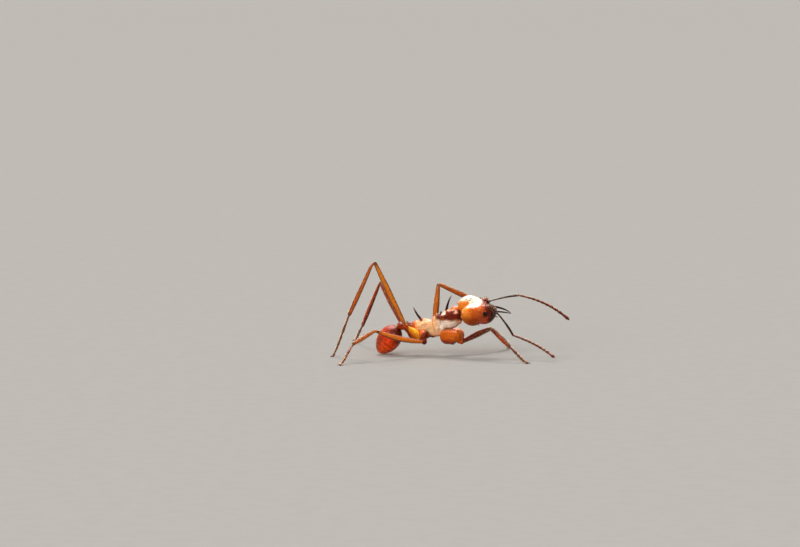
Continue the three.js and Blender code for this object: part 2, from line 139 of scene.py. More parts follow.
def ramp(value, low, high):
    """0 at low, 1 at high, smooth between them and level beyond. low may be the greater one."""
    share = np.clip((value - low) / (high - low), 0, 1)
    return share * share * (3 - 2 * share)


def bell(distance, width):
    return np.exp(-((distance / width) ** 2))


# ---- vectors
def unit(heading, lift):
    h, l = math.radians(heading), math.radians(lift)
    return np.array([math.cos(h) * math.cos(l), math.sin(h) * math.cos(l), math.sin(l)])


def turned(roll, pitch, yaw):
    turn = Matrix.Rotation(math.radians(yaw), 3, "Z") @ Matrix.Rotation(math.radians(pitch), 3, "Y")
    return np.array(turn @ Matrix.Rotation(math.radians(roll), 3, "X"))


def normalised(vectors):
    return vectors / np.maximum(np.linalg.norm(vectors, axis=-1, keepdims=True), 1e-12)


def mirrored(point, side):
    return np.multiply(point, [1, side, 1])


def circle(count):
    return 2 * np.pi * np.arange(count) / count


def bezier(points, count):
    """A Bezier curve through its first and last points, pulled towards the ones between."""
    t = np.linspace(0, 1, count)[:, None]
    level = [np.array([p]) for p in points]
    while len(level) > 1:
        level = [a * (1 - t) + b * t for a, b in zip(level, level[1:])]
    return level[0]


def line_distance(x, y, points):
    """How far each (x, y) lies from a line of straight pieces."""
    nearest = np.inf
    for (ax, ay), (bx, by) in zip(points, points[1:]):
        dx, dy = bx - ax, by - ay
        t = np.clip(((x - ax) * dx + (y - ay) * dy) / (dx * dx + dy * dy), 0, 1)
        nearest = np.minimum(nearest, np.hypot(x - ax - t * dx, y - ay - t * dy))
    return nearest


# ---- shells
class Shell:
    """A closed skin of rings between two poles.

    uv is a point's share along and round it, and flow carries the streaks along it. shade is one colour
    or one for each point, and so is chance, the odds of a hair. lie is 1 where hairs point to the last pole.
    """

    def __init__(self, rings, first, last):
        self.rows, self.columns = rings.shape[:2]
        self.points = np.vstack([first, rings.reshape(-1, 3), last])
        self.shade, self.chance, self.lie = ORANGE, 1.0, 1
        row, column = np.indices((self.rows, self.columns))
        share, turn = (row + 1) / (self.rows + 1), column / self.columns
        self.uv = np.vstack([[0, 0.5], np.stack([share, turn], -1).reshape(-1, 2), [1, 0.5]])
        radius = np.linalg.norm(rings - rings.mean(1, keepdims=True), axis=-1)
        length, angle = lengths(rings.mean(1)), turn * 2 * np.pi
        flow = np.stack([radius * np.cos(angle), radius * np.sin(angle), length[row]], -1)
        self.flow = np.vstack([[0, 0, 0], flow.reshape(-1, 3), [0, 0, length[-1]]])

    def faces(self):
        """Its quads and the triangles at its poles, all facing outwards."""
        ring = np.arange(self.columns)
        starts = 1 + np.arange(self.rows)[:, None] * self.columns
        a, b = starts + ring, starts + np.roll(ring, -1)
        quads = np.stack([a[:-1], b[:-1], b[1:], a[1:]], -1).reshape(-1, 4)
        first, last = 0 * ring, 0 * ring + len(self.points) - 1
        tris = np.vstack([np.stack([first, b[0], a[0]], -1), np.stack([last, a[-1], b[-1]], -1)])
        corners = self.points[np.vstack([tris, quads[:, :3], quads[:, [0, 2, 3]]])]
        volume = np.einsum("ij,ij->", corners[:, 0], np.cross(corners[:, 1], corners[:, 2]))
        if volume < 0:
            quads, tris = quads[:, ::-1], tris[:, ::-1]
        return quads, tris

    def normals(self):
        """The way out of each point."""
        total = np.zeros_like(self.points)
        for faces in self.faces():
            corners = self.points[faces]
            way = np.cross(corners[:, 1] - corners[:, 0], corners[:, 2] - corners[:, 0])
            for corner in faces.T:
                np.add.at(total, corner, way)
        return normalised(total)

    def moved(self, turn, shift):
        self.points = self.points @ turn.T + shift
        return self

    def relief(self, height):
        """Raises each point by a height along its normal."""
        self.points = self.points + self.normals() * np.reshape(height, (-1, 1))
        return self


# ---- rounded bodies
def paired(lumps, scale):
    """Ellipsoids of (centre, radii), each one off the middle with its fellow on the other side."""
    return [(mirrored(centre, side) * scale, np.array(radii) * scale)
            for centre, radii in lumps for side in ((1, -1) if centre[1] else (1,))]


def outside(points, lumps, blend):
    """Below 0 inside lumps that melt into each other over the distance blend, above 0 outside."""
    total = 0
    for centre, radii in lumps:
        q = np.sqrt((((points - centre) / radii) ** 2).sum(-1))
        total = total + np.exp(np.minimum((1 - q) * radii.min() / blend, 60))
    return -blend * np.log(total + 1e-300)


def reach(start, way, lumps, blend):
    """How far it is from each inner point to the skin, by halving."""
    near = np.zeros(start.shape[:-1])
    far = near + 4.0
    for _ in range(26):
        middle = (near + far) / 2
        inside = outside(start + way * middle[..., None], lumps, blend) < 0
        near, far = np.where(inside, middle, near), np.where(inside, far, middle)
    return near


def melted(lumps, start, end, rows, columns, blend=0.08, scale=1.0, fan=False):
    """The skin of ellipsoids melted together, in rings round the line from start to end.

    The rays that find it stand square to the line, or fan out from it. Places are times scale.
    """
    lumps = paired(lumps, scale)
    start, end = np.multiply(start, scale), np.multiply(end, scale)
    axis = normalised(end - start)
    middle = (start + end) / 2
    up = normalised([0, 0, 1.0] - axis * axis[2])
    left = np.cross(up, axis)
    front = reach(middle, axis, lumps, blend)
    back = reach(middle, -axis, lumps, blend)
    turn = np.pi * np.arange(1, rows + 1) / (rows + 1)
    height = np.cos(turn)
    along = height * np.where(height > 0, front, back)
    angle = circle(columns)
    way = np.cos(angle)[:, None] * up + np.sin(angle)[:, None] * left
    base = middle + along[:, None] * axis
    base, way = np.broadcast_arrays(base[:, None], way[None])
    first, last = middle + axis * front, middle - axis * back
    if fan:
        half = np.linalg.norm(end - start) / 2
        base = middle + (height * half)[:, None, None] * axis + 0 * way
        way = way * np.sin(turn)[:, None, None] + axis * height[:, None, None]
        first = end + axis * reach(end, axis, lumps, blend)
        last = start - axis * reach(start, -axis, lumps, blend)
    rings = base + way * reach(base, way, lumps, blend)[..., None]
    return Shell(rings, first, last).relief(-SINK)


# ---- tubes
def tube(path, radius, columns=20, flat=1.0, cap=5):
    """A round tube along a path, with rounded ends. flat squeezes it sideways.

    It knows each point's share of the path, and its height and place across, both from -1 to 1.
    """
    radius = np.broadcast_to(radius, len(path))
    tangent = normalised(np.gradient(path, axis=0))
    turn = np.linspace(0, np.pi / 2, cap + 1)[1:-1]
    first = path[0] - tangent[0] * radius[0] * np.cos(turn)[:, None]
    last = path[-1] + tangent[-1] * radius[-1] * np.sin(turn)[:, None]
    centres = np.vstack([first, path, last])
    radii = np.concatenate([radius[0] * np.sin(turn), radius, radius[-1] * np.cos(turn)])
    tangents = np.pad(tangent, ((cap - 1,), (0,)), "edge")
    across, acrosses = np.cross([0, 0, 1.0], tangent[0]), []
    for t in tangents:
        across = normalised(across - t * (across @ t))
        acrosses.append(across)
    acrosses = np.array(acrosses)
    overs = np.cross(tangents, acrosses)
    angle = circle(columns)
    spokes = flat * np.cos(angle)[:, None] * acrosses[:, None] + np.sin(angle)[:, None] * overs[:, None]
    rings = centres[:, None] + radii[:, None, None] * spokes
    shell = Shell(rings, path[0] - tangent[0] * radius[0], path[-1] + tangent[-1] * radius[-1])
    shell.share = np.concatenate([[0], np.repeat(shares(centres), columns), [1]])
    shell.height = np.concatenate([[0], np.tile(np.sin(angle), len(centres)), [0]])
    shell.across = np.concatenate([[0], np.tile(np.cos(angle), len(centres)), [0]])
    return shell


def lengths(path):
    """How far along a path each of its points is."""
    return np.concatenate([[0], np.cumsum(np.linalg.norm(np.diff(path, axis=0), axis=1))])


def shares(path):
    return lengths(path) / lengths(path)[-1]


def stretch(path, share, low, high, count):
    """The part of a path between two shares of it."""
    picks = np.linspace(low, high, count)
    return np.array([np.interp(picks, share, path[:, k]) for k in range(3)]).T


def profile(knots, share):
    """A smooth radius through knots of (share, radius), at some shares or at a count of even steps."""
    share = np.linspace(0, 1, share) if np.isscalar(share) else share
    x, y = np.array(knots).T
    slope = np.gradient(y, x)
    i = np.clip(np.searchsorted(x, share) - 1, 0, len(x) - 2)
    step = x[i + 1] - x[i]
    t = (share - x[i]) / step
    leaving = y[i] * (1 + 2 * t) + slope[i] * step * t
    reaching = y[i + 1] * (3 - 2 * t) + slope[i + 1] * step * (t - 1)
    return leaving * (1 - t) ** 2 + reaching * t ** 2


def spine(points, thick, colours, fade, side=1, point=0.012, columns=20):
    """A thorn with a flared root, from root to tip. Its two colours change over the shares in fade."""
    path = bezier([mirrored(p, side) for p in points], 36)
    s = np.linspace(0, 1, 36)
    radius = point + (thick * 0.62 - point) * (1 - s) ** 0.9 + thick * 0.5 * np.exp(-s / 0.09)
    thorn = tube(path, radius, columns)
    thorn.shade = mix(*colours, ramp(thorn.share, *fade))
    return thorn


# ---- meshes
def add_to_scene(name, data):
    obj = bpy.data.objects.new(name, data)
    bpy.context.scene.collection.objects.link(obj)
    return obj


def add_piece(name, points, faces, shade, flow, material, nodes=()):
    """A piece of the ant, with its body and the CAD nodes that it replaces."""
    mesh = bpy.data.meshes.new(name)
    mesh.from_pydata(((points - ORIGIN) * MM).tolist(), [], faces, shade_flat=False)
    colours = mesh.color_attributes.new("shade", "FLOAT_COLOR", "POINT")
    colours.data.foreach_set("color", np.column_stack([np.clip(shade, 0, 1), np.ones(len(shade))]).ravel())
    flows = mesh.attributes.new("flow", "FLOAT_VECTOR", "POINT")
    flows.data.foreach_set("vector", flow.ravel())
    mesh.materials.append(material)
    obj = add_to_scene(name, mesh)
    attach(obj, "root")
    if nodes:
        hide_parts(*nodes)
    return mesh


def add_object(name, shells, material, nodes):
    """A piece of several shells, each with its own part of the streaks."""
    points = np.vstack([shell.points for shell in shells])
    shade = np.vstack([np.broadcast_to(shell.shade, shell.points.shape) for shell in shells])
    flow = np.vstack([shell.flow + [i * 3.7, i * 1.9, 0] for i, shell in enumerate(shells)])
    quads, tris, count = [], [], 0
    for shell in shells:
        for faces, more in zip((quads, tris), shell.faces()):
            faces += (more + count).tolist()
        count += len(shell.points)
    add_piece(name, points, quads + tris, shade, flow, material, nodes)


# ---- hairs
HAIR_RINGS = [(-0.08, 1.0), (0.35, 0.8), (0.7, 0.5)]  # place along the hair and width of each ring
HAIR_PATCH = [(-1, -1), (1, -1), (0, -1), (-1, 0), (1, 0), (0, 0), (-0.6, 0.6), (0.6, 0.6), (0, 0.5), (0, 1)]
HAIR_TONES = [0.6] * 3 + [0.85] * 3 + [1.0] * 4  # darker at the root


def hair_roots(shells, rng):
    """Random points on each (shell, count), the ways out and along there, and places in the bake map."""
    base, way, lie, uvs = [], [], [], []
    for index, (shell, count) in enumerate(shells):
        quads, _ = shell.faces()
        corners = shell.points[quads]
        area = np.linalg.norm(np.cross(corners[:, 2] - corners[:, 0], corners[:, 3] - corners[:, 1]), axis=1)
        weight = area * np.broadcast_to(shell.chance, len(shell.points))[quads].mean(1)
        pick = rng.choice(len(quads), count, p=weight / weight.sum())
        s, t = rng.random((2, count, 1))
        c = corners[pick]
        base.append((c[:, 0] * (1 - s) + c[:, 1] * s) * (1 - t) + (c[:, 3] * (1 - s) + c[:, 2] * s) * t)
        way.append(shell.normals()[quads[pick]].mean(1))
        uv = shell.uv[quads[pick]]
        rows = np.arange(count)
        run = c[rows, np.argmax(uv[..., 0], 1)] - c[rows, np.argmin(uv[..., 0], 1)]
        lie.append(normalised(run) * shell.lie)
        seam = np.ptp(uv[..., 1:], axis=1, keepdims=True) > 0.5
        uv = np.where(seam, uv % [2, 0.999], uv).mean(1)
        uvs.append((uv * [1 / len(shells), 1] + [index / len(shells), 0]) * 0.96 + 0.02)
    return map(np.vstack, (base, way, lie, uvs))


def hair_faces(count):
    """The faces of hairs with a closed root, three rings of three corners and a tip."""
    faces = [(2, 1, 0)]
    for r in (0, 3):
        faces += [(r + k, r + (k + 1) % 3, r + 3 + (k + 1) % 3, r + 3 + k) for k in range(3)]
    faces += [(6 + k, 6 + (k + 1) % 3, 9) for k in range(3)]
    offset = np.arange(count)[:, None] * 10
    return [row for face in faces for row in (np.array(face) + offset).tolist()]


def add_hairs(name, shells, length, thick, lean, seed):
    """Short, tapered, bowed hairs on a list of (shell, count). lean is their angle off the skin's normal."""
    rng = np.random.default_rng(seed)
    base, way, lie, uvs = hair_roots(shells, rng)
    n = len(base)
    lie = normalised(lie + rng.normal(0, 0.25, (n, 3)))
    lie = normalised(lie - way * (lie * way).sum(1, keepdims=True))
    angle = np.radians(lean + rng.normal(0, 8, (n, 1)))
    first = way * np.cos(angle) + lie * np.sin(angle)
    second = normalised(first + lie * 0.5)
    size = length * rng.uniform(0.65, 1.25, (n, 1))
    side = normalised(np.cross(first, way + 1e-6))
    over = np.cross(side, first)
    corners = []
    for s, wide in HAIR_RINGS:
        centre = base + (first * s + (second - first) * s * abs(s)) * size
        corners += [centre + thick * wide * (side * math.cos(a) + over * math.sin(a)) for a in circle(3)]
    corners.append(base + second * size)
    points = np.stack(corners, 1)
    points[..., 2] = np.maximum(points[..., 2], 0.003)
    tone = np.repeat(mix(STRAW, RUST, rng.random(n) * 0.7), 10, 0) * np.tile(HAIR_TONES, n)[:, None]
    mesh = add_piece(name, points.reshape(-1, 3), hair_faces(n), tone, np.repeat(base, 10, 0), HAIR)
    corner_uv = (uvs[:, None] + np.array(HAIR_PATCH) * 0.0015).reshape(-1, 2)
    layer = mesh.uv_layers.new(name="OFBake")
    loops = np.empty(len(mesh.loops), int)
    mesh.loops.foreach_get("vertex_index", loops)
    layer.data.foreach_set("uv", corner_uv[loops].ravel())


# ---- materials
def new_material(name):
    """An empty material and the function that adds its nodes."""
    material = bpy.data.materials.new(name)
    material.use_nodes = True
    tree = material.node_tree
    tree.nodes.clear()

    def add_node(kind, sockets, **settings):
        """A node's outputs. Each of its sockets is given a constant or another node's output."""
        node = tree.nodes.new("ShaderNode" + kind)
        for key, value in settings.items():
            setattr(node, key, value)
        for key, value in sockets.items():
            if isinstance(value, bpy.types.NodeSocket):
                tree.links.new(value, node.inputs[key])
            else:
                node.inputs[key].default_value = value
        return node.outputs

    return material, add_node


def cuticle(name, rough=(0.24, 0.4), bump=0.35, coat=0.15, cells=26000):
    """Insect shell: the painted colour, mottled and streaked, with fine net-like relief."""
    material, node = new_material(name)

    def respread(value, *spans):
        """A value brought from the first span, of two numbers, to the second."""
        sockets = dict(zip(("From Min", "From Max", "To Min", "To Max"), spans), Value=value)
        return node("MapRange", sockets)["Result"]

    shade = node("Attribute", {}, attribute_name="shade")["Color"]
    flow = node("Attribute", {}, attribute_name="flow")["Vector"]
    place = node("TexCoord", {})["Object"]
    mottle = node("TexNoise", {"Vector": place, "Scale": 9000, "Detail": 5.0, "Roughness": 0.6})["Fac"]
    drawn = node("Mapping", {"Vector": flow, "Scale": (1, 1, 0.12)})["Vector"]
    streaks = node("TexNoise", {"Vector": drawn, "Scale": 10.4, "Detail": 4.0, "Roughness": 0.55})["Fac"]
    spots, lines = respread(mottle, 0.35, 0.7, 0.72, 1.12), respread(streaks, 0.35, 0.65, 0.72, 1.15)
    both = node("Math", {0: spots, 1: lines}, operation="MULTIPLY")["Value"]
    tint = node("VectorMath", {0: shade, "Scale": both}, operation="SCALE")["Vector"]
    net = node("TexVoronoi", {"Vector": place, "Scale": cells})["Distance"]
    relief = node("Math", {0: streaks, 1: 1.5, 2: net}, operation="MULTIPLY_ADD")["Value"]
    raised = node("Bump", {"Strength": bump, "Distance": 3e-6, "Height": relief})["Normal"]
    skin = node("BsdfPrincipled", {
        "Base Color": tint, "Roughness": respread(mottle, 0.3, 0.7, *rough), "Normal": raised,
        "IOR": 1.5, "Specular IOR Level": 0.12, "Coat Weight": coat, "Coat Roughness": 0.15,
        "Subsurface Weight": 0.25, "Subsurface Scale": 0.0003, "Subsurface Radius": (1.0, 0.35, 0.12),
    })["BSDF"]
    node("OutputMaterial", {"Surface": skin})
    return material


HEAD_SKIN = cuticle("head_cuticle", bump=0.5)
TRUNK_SKIN = cuticle("trunk_cuticle")
GASTER_SKIN = cuticle("gaster_cuticle", rough=(0.16, 0.3), bump=0.25)
LEG_SKIN = cuticle("leg_cuticle")
ANTENNA_SKIN = cuticle("antenna_cuticle", rough=(0.45, 0.6), coat=0.1)
JAW_SKIN = cuticle("jaw_cuticle", rough=(0.15, 0.28))
EYE_SKIN = cuticle("eye_facets", rough=(0.12, 0.22), bump=0.15, cells=52000)
HAIR = cuticle("hair", rough=(0.4, 0.55), coat=0.0, bump=0.1)


# ---- head
HEAD_TURN = turned(HEAD["roll"], HEAD["pitch"], HEAD["yaw"])
HEAD_PLACE = np.array(HEAD["centre"])
# centres and radii, as shares of its size, of rear lobes, middle, cheeks, mouth and frontal lobes
HEAD_LUMPS = [
    ((-0.13, 0.22, 0.01), (0.31, 0.265, 0.45)),
    ((0.02, 0, 0), (0.36, 0.36, 0.42)),
    ((0.17, 0.2, -0.08), (0.26, 0.19, 0.35)),
    ((0.34, 0, -0.05), (0.2, 0.24, 0.26)),
    ((0.25, 0.19, 0.22), (0.1, 0.09, 0.19)),
]


def head_point(p):
    return HEAD_TURN @ p + HEAD_PLACE


def from_eye(x, z):
    """Distance from the eye's centre, 1 at the rim of its socket."""
    return np.hypot((x - EYE["place"][0]) / 0.2, (z - EYE["place"][2]) / 0.19)


def head_relief(p):
    """Furrows, ridges and seams of the head, as heights over its melted lumps."""
    x, y, z = p.T
    s = np.abs(y)
    top, flank = ramp(z, 0.0, 0.35), ramp(s, 0.55, 0.85)
    furrow = -0.05 * bell(y, 0.06) * top * ramp(x, -1.4, -0.9) * ramp(x, 0.5, 0.15)
    carina = line_distance(x, s, [(1.0, 0.18), (0.72, 0.33), (0.35, 0.46), (-0.1, 0.5)])
    ridge = 0.035 * bell(carina, 0.04) * top * ramp(x, -0.3, 0.2)
    clypeus = -0.025 * bell(x - (0.82 + 0.9 * y ** 2), 0.025) * ramp(s, 0.5, 0.4) * ramp(x, 0.5, 0.7)
    rim = 0.025 * bell(x - (1.28 - 0.3 * y ** 2), 0.035)
    q = from_eye(x, z)
    orbit = flank * (-0.04 * bell(q - 1.0, 0.13) + 0.018 * bell(q - 1.35, 0.16))
    brow = line_distance(x, z, [(1.1, 0.05), (0.85, 0.36), (0.5, 0.62), (0.1, 0.66)])
    brow_ridge = 0.02 * bell(brow, 0.035) * ramp(s, 0.3, 0.6)
    turn = np.arctan2(z, x + 0.25)
    arcs = np.hypot(x - 0.6, z - 0.25) + 0.02 * np.sin(turn * 23)
    gaps = np.clip(np.sin(turn * 37 + arcs * 9), 0, 1)
    wrinkle = 0.006 * np.sin(arcs * 2 * np.pi / 0.13) * gaps * ramp(x, 0.3, -0.3)
    gula = -0.02 * bell(y, 0.03) * ramp(z, -0.1, -0.4)
    cheek = -0.02 * bell(line_distance(x, z, [(1.15, 0.1), (0.95, -0.35)]), 0.03) * ramp(s, 0.25, 0.4)
    return furrow + ridge + clypeus + rim + orbit + brow_ridge + gula + wrinkle + cheek


def painted_crown_highlight(p):
    """A painted highlight on the crown: pale, with dashed edges and grey flecks."""
    x, y, z = p.T
    # along and up the photo, in its pixels of 0.07 mm
    ahead = 13.97 * x - 2.62 * y + 1.39 * z
    above = 0.51 * x + 7.75 * y + 12.0 * z
    long_waves = 0.5 * np.sin(ahead * 4.2 + above * 1.5) + 0.5 * np.sin(ahead * 1.3)
    dashes = long_waves + 0.35 * np.sin(ahead * 9.7 - above)
    front = ramp(ahead - 0.85 * above + 0.5 * dashes, -2.6, -0.9)
    patch = ramp(above + dashes, 1.9, 3.9) * (1 - front) * ramp(z, 0.15, 0.4)
    rear = ramp(ahead, -7.2, -8.6) * ramp(-above + 0.8 * dashes, -9.8, -8.6) * ramp(y, -0.12, 0.08)
    flecks = ramp(np.sin(1.1 * ahead + 0.6 * above) * np.sin(1.7 * above - 0.5 * ahead), -0.6, 0.2)
    return mix(ASH, IVORY, flecks), 0.95 * patch * (1 - rear)


def head_shade(p):
    """Golden behind, rusty on the sides, maroon on the face and dark round the mouth, with painted shade
    underneath and a painted highlight on the crown.
    """
    x, y, z = p.T
    s = np.abs(y)
    low = 7.75 * s - 12.0 * z - 0.51 * x
    flank = painted(
        GOLD,
        (ORANGE, ramp(x, -1.05, -0.5)),
        (RUST, 0.75 * ramp(x - 0.3 * z, -0.5, 0.45)),
        # painted shade: darker towards the underside and the lower sides, most at the back
        (UMBER, 0.75 * ramp(low, 3.5, 9.5) * (0.1 + 0.9 * ramp(x, 0.2, -0.3))),
        (CORAL, 0.7 * bell(np.hypot(x - 0.32, (z + 0.2) * 0.8), 0.36) * ramp(s, 0.3, 0.6)),
        (RED, 0.2 * ramp(x, 0.3, 0.6) * ramp(s, 0.3, 0.5)))
    left_lobe = bell(np.hypot(x - 0.66, (y - 0.5) * 0.8), 0.26) * ramp(z, 0.3, 0.5)
    between = bell(np.hypot(x - 0.62, (s - 0.2) * 1.1), 0.24) * ramp(z, 0.2, 0.4) * ramp(y, 0.35, 0.15)
    face = ramp(x - 0.12 * s + 0.15 * ramp(z, 0.35, 0.6), 0.36, 0.6)
    return painted(
        flank * [1.04, 0.9, 0.6],
        # painted highlight on the crown
        painted_crown_highlight(p),
        (CHESTNUT, 0.8 * left_lobe),
        (RED, 0.7 * between),
        (MAROON, face * (1 - 0.7 * ramp(y, 0.3, 0.5) * ramp(z, 0.3, 0.5))),
        (DARK, 0.75 * ramp(x, 0.72, 1.0)),
        (MAROON, 0.8 * ramp(s, 0.7, 0.9) * bell(from_eye(x, z) - 0.9, 0.3)))


def head_thorns(side):
    """The thorns of one side: on the rear lobe, under the cheek and along the frontal lobe."""
    rear = [(-1.1, 0.65, 0.20125), (-1.20625, 0.6695, 0.201875), (-1.2925, 0.689, 0.2625)]
    cheek = [(0.1, 0.62, -0.62), (0.08, 0.72, -0.82)]
    thorns = [
        spine(rear, 0.07, (mix(RUST, ORANGE, 0.4), MAROON), (0.5, 0.9), side),
        spine(cheek, 0.05, (RED, DARK), (0.2, 0.6), side),
    ]
    for x, y, z in ((0.46, 0.44, 0.62), (0.6, 0.5, 0.65), (0.74, 0.52, 0.63), (0.86, 0.5, 0.54)):
        row = [(x, y, z), (x + 0.03, y + 0.03, z + 0.16)]
        thorns.append(spine(row, 0.045, (RUST, DARK), (0.2, 0.6), side, point=0.006, columns=12))
    return thorns


def make_head():
    axis = (-0.12, 0, 0), (0.12, 0, 0)
    skull = melted(HEAD_LUMPS, *axis, 250, 280, blend=0.05, scale=HEAD["size"], fan=True)
    local = skull.points.copy()
    skull.relief(head_relief(local))
    skull.shade = head_shade(local)
    skull.chance = np.where(local[:, 0] > 0.9, 0.3, 1.0)
    shells = [skull, *head_thorns(1), *head_thorns(-1), *mouth_parts()]
    for shell in shells:
        shell.moved(HEAD_TURN, HEAD_PLACE)
    add_object("head_capsule", shells, HEAD_SKIN, ["head"])
    add_hairs("head_hairs", [(skull, 1500)], 0.085, thick=0.007, lean=55, seed=3)


def mouth_parts():
    """The lower lip between the jaws and two pairs of palps under it."""
    lip = melted([((1.2, 0, -0.3), (0.32, 0.2, 0.13))], (1.1, 0, -0.3), (1.3, 0, -0.3), 30, 30)
    lip.shade = mix(MAROON, DARK, ramp(lip.points[:, 0], 1.1, 1.5))
    shells = [lip]
    girth = 0.022 + 0.008 * np.abs(np.sin(np.linspace(0, 1, 30) * np.pi * 4))
    for side in (1, -1):
        for spread, length in ((0.16, 0.26), (0.07, 0.18)):
            root = mirrored((1.28, spread, -0.38), side)
            path = bezier([root, root + [0.14, side * 0.03, -0.12], root + [length, side * 0.02, -0.1]], 30)
            palp = tube(path, girth, 10)
            palp.shade = MAROON
            shells.append(palp)
    return shells


def ball_point(turn, angle):
    """A point of the unit ball, by its turn from the +Y pole and its angle about that axis."""
    out = np.sin(turn)
    return np.stack([out * np.cos(angle), np.cos(turn) + 0 * angle, out * np.sin(angle)], -1)


def make_eye(name, side):
    """An egg-shaped eye with a raised facet round each seed of a sunflower pattern."""
    rows, columns, count = 90, 120, 420
    ball = ball_point((np.pi * np.arange(1, rows + 1) / (rows + 1))[:, None], circle(columns))
    k = np.arange(count) + 0.5
    seeds = ball_point(np.arccos(1 - 2 * k / count), np.pi * (1 + 5 ** 0.5) * k)
    nearest = np.arccos(np.clip(ball.reshape(-1, 3) @ seeds.T, -1, 1).max(1)).reshape(rows, columns)
    dome = 1.05 - 0.05 * np.minimum(nearest / 0.095, 1) ** 2
    top = EYE["radii"][1]
    eye = Shell(ball * dome[..., None] * EYE["radii"], [0, top, 0], [0, -top, 0])
    facets = mix(BROWN * 1.5, BLACK * 1.6, ramp(nearest.ravel(), 0.03, 0.07))
    eye.shade = np.vstack([BLACK, facets, BLACK])
    eye.moved(HEAD_TURN, head_point(mirrored(EYE["place"], side)))
    add_object(name + "_facets", [eye], EYE_SKIN, [name])


def make_mandible(name, side):
    """A flat jaw in the head's frame: a is forwards from the hinge and b inwards."""
    rows, columns, first_tooth = 240, 40, 0.36
    s = np.linspace(0, 1, rows)
    a = MANDIBLE["length"] * s - 0.12
    outline = [(0, -0.1), (0.15, -0.11), (0.4, -0.12), (0.65, -0.1), (0.85, -0.03), (0.95, 0.03), (1, 0.08)]
    outer = profile(outline, s)
    inner = 0.06 + (MANDIBLE["reach"] - 0.06) * ramp(s, 0.1, first_tooth)
    tooth = (s - first_tooth) / (1 - first_tooth) * MANDIBLE["teeth"]
    saw = np.where(tooth > 0, 1 - np.abs((tooth % 1) - 0.62) / 0.62, 0)
    inner = inner - 0.06 * (1 - np.clip(saw, 0, 1)) * ramp(s, 0.34, 0.4) * (0.6 + 0.7 * s)
    inner = np.maximum(inner, outer + 0.012)
    thick = profile([(0, 0.1), (0.3, 0.07), (0.7, 0.05), (0.93, 0.032), (1, 0.016)], s)
    angle = circle(columns)
    share = (1 - np.cos(angle)) / 2
    b = outer[:, None] + (inner - outer)[:, None] * share
    z = thick[:, None] * np.sin(angle) * (1 - 0.75 * share)
    camber = (0.1 * s - 0.5 * s ** 2)[:, None] - 0.1 * (share - 0.4) ** 2
    rings = np.stack([a[:, None] + 0 * b, -side * b, z + camber], -1)
    jaw = Shell(rings, rings[0].mean(0), rings[-1].mean(0) + [0.01, 0, 0])
    along = np.concatenate([[0], np.repeat(s, columns), [1]])
    inward = np.concatenate([[0.5], np.tile(share, rows), [0.5]])
    jaw.shade = painted(
        MAROON,
        (DARK * 0.7, ramp(along, 0.05, 0.4)),
        (BLACK, ramp(inward, 0.7, 0.95) * ramp(along, 0.2, 0.4)))
    yaw = turned(0, 0, side * MANDIBLE["opening"])
    jaw.moved(yaw, mirrored(MANDIBLE["hinge"], side)).moved(HEAD_TURN, HEAD_PLACE)
    add_object(name + "_blade", [jaw], JAW_SKIN, [name])


# ---- antennae
WHIP_BEADS = [1.5, 1, 0.95, 0.95, 0.95, 1, 1, 1.05, 1.1, 1.9]  # their relative lengths


def make_scape(socket, along):
    """The long first joint, with a neck at its root and a slight bow."""
    bow = socket + along * SCAPE * 0.5 + [0.16, 0, 0.16]
    path = bezier([socket + along * 0.02, bow, socket + along * SCAPE], 60)
    knots = [(0, 0.08), (0.03, 0.085), (0.07, 0.045), (0.15, 0.05), (0.5, 0.062), (0.9, 0.078), (1, 0.07)]
    scape = tube(path, profile(knots, 60), 20)
    scape.shade = painted(BROWN, (DARK, 0.4), (MAROON, 0.5 * ramp(scape.share, 0.85, 1.0)))
    return scape


def make_whip(elbow, start, end):
    """Ten beads that thicken outwards, along a curve that starts and ends with the given steps."""
    third = elbow + start + (start + end) / 2
    curve = bezier([elbow, elbow + start, third, third + end], 400)
    share = shares(curve)
    ends = np.concatenate([[0], np.cumsum(WHIP_BEADS) / np.sum(WHIP_BEADS)])
    beads = []
    for i, (low, high) in enumerate(zip(ends, ends[1:])):
        piece = stretch(curve, share, low + 0.004, high - 0.002, 16)
        size = 0.072 + 0.034 * (i / 9) ** 0.8
        knots = [(0, 0.5), (0.12, 0.72), (0.5, 0.97), (0.85, 1.0), (1, 0.55 if i == 9 else 0.86)]
        bead = tube(piece, size * profile(knots, 16), 18)
        bead.shade = painted(BROWN, (RUST, 0.25), (DARK, bell(bead.share, 0.12)))
        beads.append(bead)
    return beads


def make_antenna(name):
    side = 1 if name == "left" else -1
    socket = head_point(mirrored(SOCKET, side))
    along, start, end = (unit(*way) for way in ANTENNAE[name])
    scape = make_scape(socket, along)
    beads = make_whip(socket + along * SCAPE, start * FUNICULUS / 3, end * FUNICULUS / 3)
    nodes = [f"{name}_scape", f"{name}_funiculus_inner", f"{name}_funiculus_outer"]
    add_object(f"{name}_antenna", [scape, *beads], ANTENNA_SKIN, nodes)
    haired = [(scape, 170)] + [(bead, 50) for bead in beads]
    seed = 11 + side
    add_hairs(f"{name}_antenna_hairs", haired, 0.065, thick=0.0055, lean=50, seed=seed)


# ---- trunk
TRUNK = [  # centres and radii of its lumps
    ((2.2, 0, 2.7), (0.42, 0.2, 0.2)),
    ((1.95, 0, 2.48), (0.32, 0.3, 0.32)),
    ((1.42, 0, 2.5), (0.62, 0.6, 0.66)),
    ((1.28, 0.38, 2.66), (0.42, 0.26, 0.4)),
    ((1.7, 0.32, 2.8), (0.4, 0.24, 0.42)),
    ((1.16, 0.34, 3.0), (0.16, 0.13, 0.22)),
    ((1.8, 0, 3.1), (0.38, 0.3, 0.38)),
    ((0.72, 0, 2.34), (0.62, 0.5, 0.62)),
    ((0.45, 0.24, 1.88), (0.6, 0.32, 0.57)),
    ((-0.3, 0, 2.14), (0.78, 0.42, 0.42)),
    ((-0.62, 0.28, 1.92), (0.5, 0.24, 0.32)),
    ((-0.98, 0, 2.05), (0.4, 0.32, 0.34)),
]


